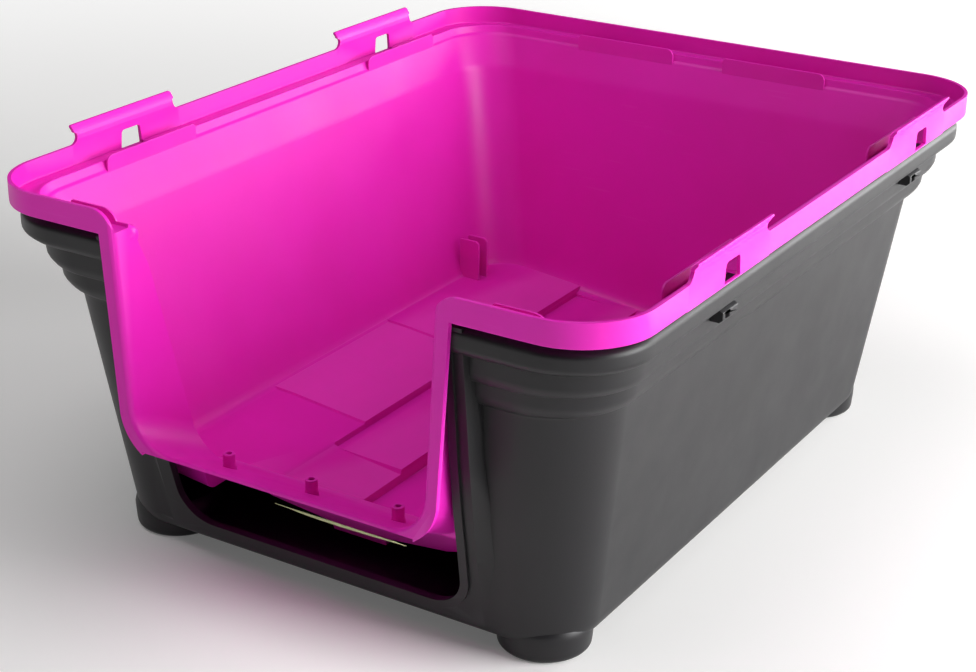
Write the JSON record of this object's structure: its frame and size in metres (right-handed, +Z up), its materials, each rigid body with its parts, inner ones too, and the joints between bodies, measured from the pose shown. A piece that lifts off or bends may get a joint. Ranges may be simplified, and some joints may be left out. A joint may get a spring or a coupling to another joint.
{
  "type": "cat litter box with hood",
  "caption": "Black litter tub on four feet with its magenta hood turned over and nested inside, front entry with a sill, and four flexing latch tabs.",
  "frame": {"origin": "on the floor under the middle of the box", "axes": "+X right across the front entry, +Y to the back, +Z up"},
  "size_m": [0.406, 0.5054, 0.2315],
  "materials": {
    "base_plastic": "satin black polypropylene, injection moulded",
    "hood_plastic": "satin magenta polypropylene, injection moulded",
    "label_paper": "matt coated label paper"
  },
  "bodies": {
    "base": {"base_tub": "base_plastic", "foot_front_left": "base_plastic", "foot_front_right": "base_plastic", "foot_rear_left": "base_plastic", "foot_rear_right": "base_plastic", "snap_lug_front_left": "base_plastic", "snap_lug_front_right": "base_plastic", "snap_lug_rear_left": "base_plastic", "snap_lug_rear_right": "base_plastic"},
    "hood": {"hood_shell": "hood_plastic", "sill_post_left": "hood_plastic", "sill_post_middle": "hood_plastic", "sill_post_right": "hood_plastic", "inner_fin_1": "hood_plastic", "inner_fin_2": "hood_plastic", "guide_rib_front_left": "hood_plastic", "guide_rib_front_right": "hood_plastic", "guide_rib_rear_left": "hood_plastic", "guide_rib_rear_right": "hood_plastic", "guide_rib_back_left": "hood_plastic", "guide_rib_back_right": "hood_plastic", "guide_rib_stub_left": "hood_plastic", "guide_rib_stub_right": "hood_plastic", "underside_label": "label_paper"},
    "latch_tab_front_left": {"latch_tab_front_left": "hood_plastic"},
    "latch_tab_front_right": {"latch_tab_front_right": "hood_plastic"},
    "latch_tab_rear_left": {"latch_tab_rear_left": "hood_plastic"},
    "latch_tab_rear_right": {"latch_tab_rear_right": "hood_plastic"}
  },
  "joints": [
    {"name": "hood_lift", "type": "slide", "parent": "base", "child": "hood", "axis": [0, 0, 1], "range_m": [0, 0.26]},
    {"name": "latch_flex_front_left", "type": "hinge", "parent": "hood", "child": "latch_tab_front_left", "pos_m": [-0.199, -0.132, 0.207], "axis": [0, -1, 0], "range_deg": [0, 10], "stiffness_Nm_per_rad": 0.4},
    {"name": "latch_flex_front_right", "type": "hinge", "parent": "hood", "child": "latch_tab_front_right", "pos_m": [0.199, -0.132, 0.207], "axis": [0, 1, 0], "range_deg": [0, 10], "stiffness_Nm_per_rad": 0.4},
    {"name": "latch_flex_rear_left", "type": "hinge", "parent": "hood", "child": "latch_tab_rear_left", "pos_m": [-0.199, 0.13, 0.207], "axis": [0, -1, 0], "range_deg": [0, 10], "stiffness_Nm_per_rad": 0.4},
    {"name": "latch_flex_rear_right", "type": "hinge", "parent": "hood", "child": "latch_tab_rear_right", "pos_m": [0.199, 0.13, 0.207], "axis": [0, 1, 0], "range_deg": [0, 10], "stiffness_Nm_per_rad": 0.4}
  ]
}
